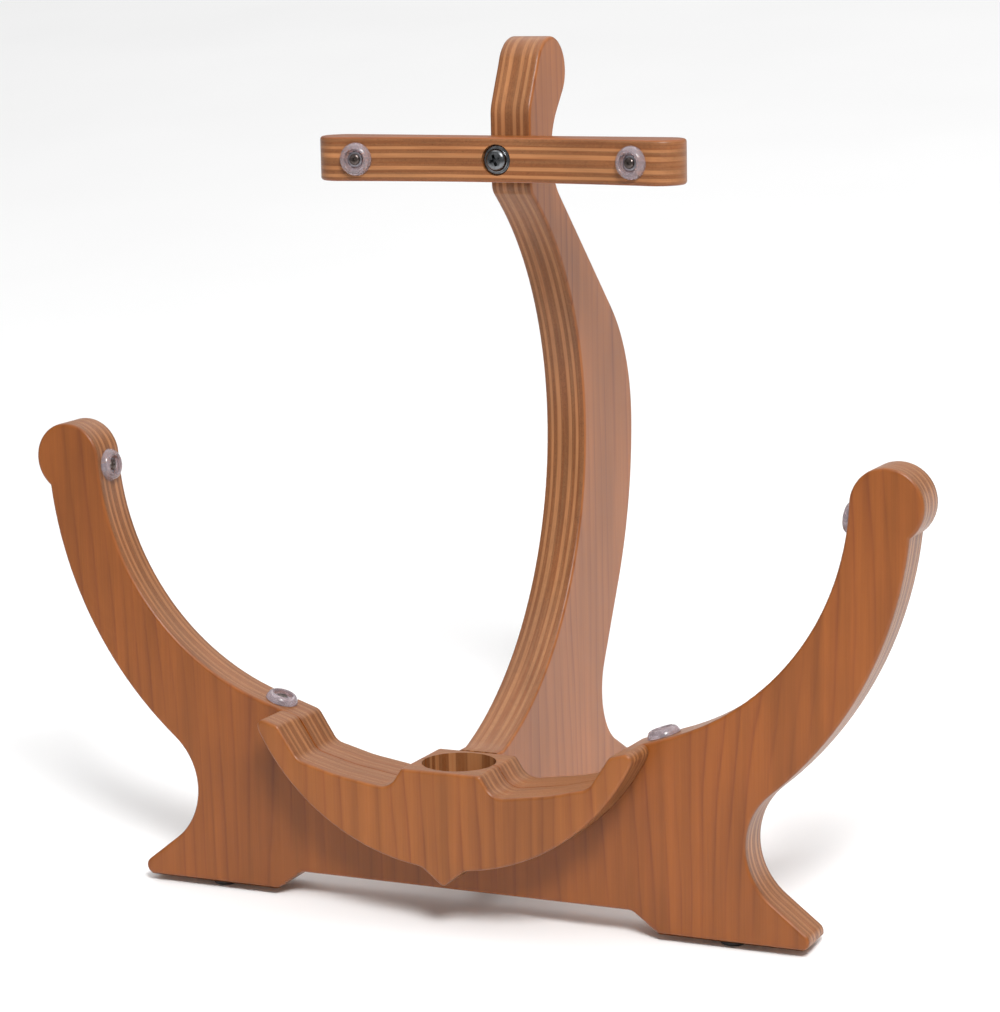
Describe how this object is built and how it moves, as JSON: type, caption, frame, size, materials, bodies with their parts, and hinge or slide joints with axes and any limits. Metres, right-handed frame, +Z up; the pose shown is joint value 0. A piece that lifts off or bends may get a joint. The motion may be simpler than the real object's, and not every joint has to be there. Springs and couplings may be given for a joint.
{
  "type": "guitar stand",
  "caption": "Anchor-shaped plywood stand that holds one guitar upright: a two-armed cradle with a front lip, a curved upright and a swivelling crossbar, all with clear bumpers.",
  "frame": {"origin": "on the ground, under the centre of the overall box", "axes": "+X to the right as seen from the guitar's side, +Y from the front lip to the rear foot, +Z up"},
  "size_m": [0.4106, 0.2164, 0.353],
  "materials": {
    "cherry_plywood": "satin lacquer over cherry veneer, ply lines on every sawn edge",
    "clear_vinyl": "clear soft vinyl, glossy, slightly pink from the wood behind it",
    "zinc_steel": "zinc plated",
    "black_screw": "black oxide",
    "gunmetal_screw": "dark polished steel",
    "brass_insert": "turned",
    "foot_rubber": "matt dark rubber",
    "dowel_beech": "bare beech"
  },
  "bodies": {
    "root": {"cradle": "cherry_plywood", "lip": "cherry_plywood", "upright": "cherry_plywood", "crossbar_screw": "gunmetal_screw", "crossbar_insert": "brass_insert", "bumper_arm_left": "clear_vinyl", "bumper_arm_left_washer": "zinc_steel", "bumper_arm_left_screw": "black_screw", "bumper_arm_right": "clear_vinyl", "bumper_arm_right_washer": "zinc_steel", "bumper_arm_right_screw": "black_screw", "bumper_seat_left": "clear_vinyl", "bumper_seat_left_washer": "zinc_steel", "bumper_seat_left_screw": "black_screw", "bumper_seat_right": "clear_vinyl", "bumper_seat_right_washer": "zinc_steel", "bumper_seat_right_screw": "black_screw", "foot_left": "foot_rubber", "foot_left_screw": "black_screw", "foot_right": "foot_rubber", "foot_right_screw": "black_screw", "foot_rear": "foot_rubber", "foot_rear_screw": "black_screw", "post_screw_lower": "zinc_steel", "post_screw_upper": "zinc_steel", "lip_dowel_left": "dowel_beech", "lip_dowel_right": "dowel_beech"},
    "crossbar": {"crossbar": "cherry_plywood", "bumper_bar_left": "clear_vinyl", "bumper_bar_left_washer": "zinc_steel", "bumper_bar_left_screw": "black_screw", "bumper_bar_right": "clear_vinyl", "bumper_bar_right_washer": "zinc_steel", "bumper_bar_right_screw": "black_screw"}
  },
  "joints": [
    {"name": "crossbar_swivel", "type": "hinge", "parent": "root", "child": "crossbar", "pos_m": [0, 0.02018, 0.30669], "axis": [0, 0.9877, -0.1564], "range_deg": [-90, 90]}
  ]
}
